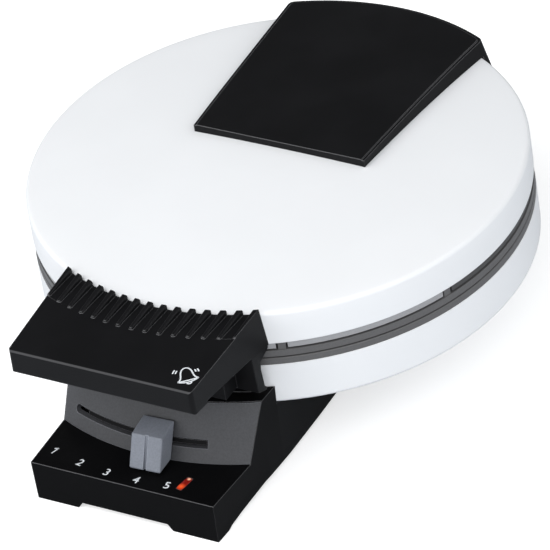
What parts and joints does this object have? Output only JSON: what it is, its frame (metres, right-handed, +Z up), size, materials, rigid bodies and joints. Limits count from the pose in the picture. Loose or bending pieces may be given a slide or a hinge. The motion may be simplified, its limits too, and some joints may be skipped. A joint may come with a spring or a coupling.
{
  "type": "electric krumkake iron",
  "caption": "Round electric wafer iron with a hinged domed lid, ribbed handle, long black base and sliding browning control.",
  "frame": {"origin": "middle of the footprint, on the table", "axes": "+Z up, the handle points to -Y, the hinge is at +Y, +X to the right seen from the handle"},
  "size_m": [0.22, 0.28, 0.0892],
  "materials": {
    "white_shell": "white moulded shell, satin gloss",
    "black_plastic": "fine-grained black plastic",
    "inner_black": "plain black plastic",
    "panel_grey": "dark grey plastic, fine grain",
    "knob_grey": "mid grey plastic, soft sheen",
    "ring_grey": "dark grey heat-proof plastic",
    "ring_light": "light grey heat-proof plastic",
    "red_lens": "clear red window",
    "cast_plate": "die-cast aluminium, dark non-stick coating",
    "sheet_aluminium": "bright sheet",
    "steel": "zinc-plated steel",
    "heater_steel": "oxidised heater tube",
    "rubber": "soft black rubber",
    "board_green": "circuit board lacquer",
    "lamp_glow": "small neon lamp",
    "terminal_white": "plain terminal plastic"
  },
  "bodies": {
    "base": {"base_cover": "inner_black", "base_feet": "rubber", "base_housing": "black_plastic", "control_panel": "panel_grey", "cord_gland": "rubber", "cover_screws": "steel", "hinge_caps": "black_plastic", "hinge_pin": "steel", "housing_screws": "steel", "indicator_lamp": "lamp_glow", "indicator_lens": "red_lens", "lower_collar": "ring_grey", "lower_heater": "heater_steel", "lower_housing": "white_shell", "lower_plate": "cast_plate", "lower_plate_screws": "steel", "lower_posts": "steel", "lower_reflector": "sheet_aluminium", "lower_ring": "ring_grey", "signal_board": "board_green", "signal_buzzer": "inner_black", "slot_guide": "inner_black", "terminal_block": "terminal_white", "thermal_fuse": "steel", "thermostat_body": "terminal_white", "thermostat_bracket": "steel"},
    "slider": {"thermostat_shaft": "steel", "control_lever": "inner_black", "slider_knob": "knob_grey"},
    "lid": {"hinge_arm": "inner_black", "hinge_arm_screws": "steel", "lid_shell": "white_shell", "upper_ring": "ring_light", "ring_screws": "steel", "upper_plate": "cast_plate", "upper_heater": "heater_steel", "upper_posts": "steel", "upper_plate_screws": "steel", "upper_reflector": "sheet_aluminium", "hinge_cover": "black_plastic", "hinge_cover_screws": "steel", "handle": "black_plastic", "handle_liner": "inner_black", "liner_screws": "steel", "handle_screws": "steel"}
  },
  "joints": [
    {"name": "lid_hinge", "type": "hinge", "parent": "base", "child": "lid", "pos_m": [0, 0.132, 0.0628], "axis": [-1, 0, 0], "range_deg": [0, 100]},
    {"name": "browning_slider", "type": "hinge", "parent": "base", "child": "slider", "pos_m": [0, -0.0013, 0.0267], "axis": [0, 0, 1], "range_deg": [-19.3, 5.7]}
  ]
}
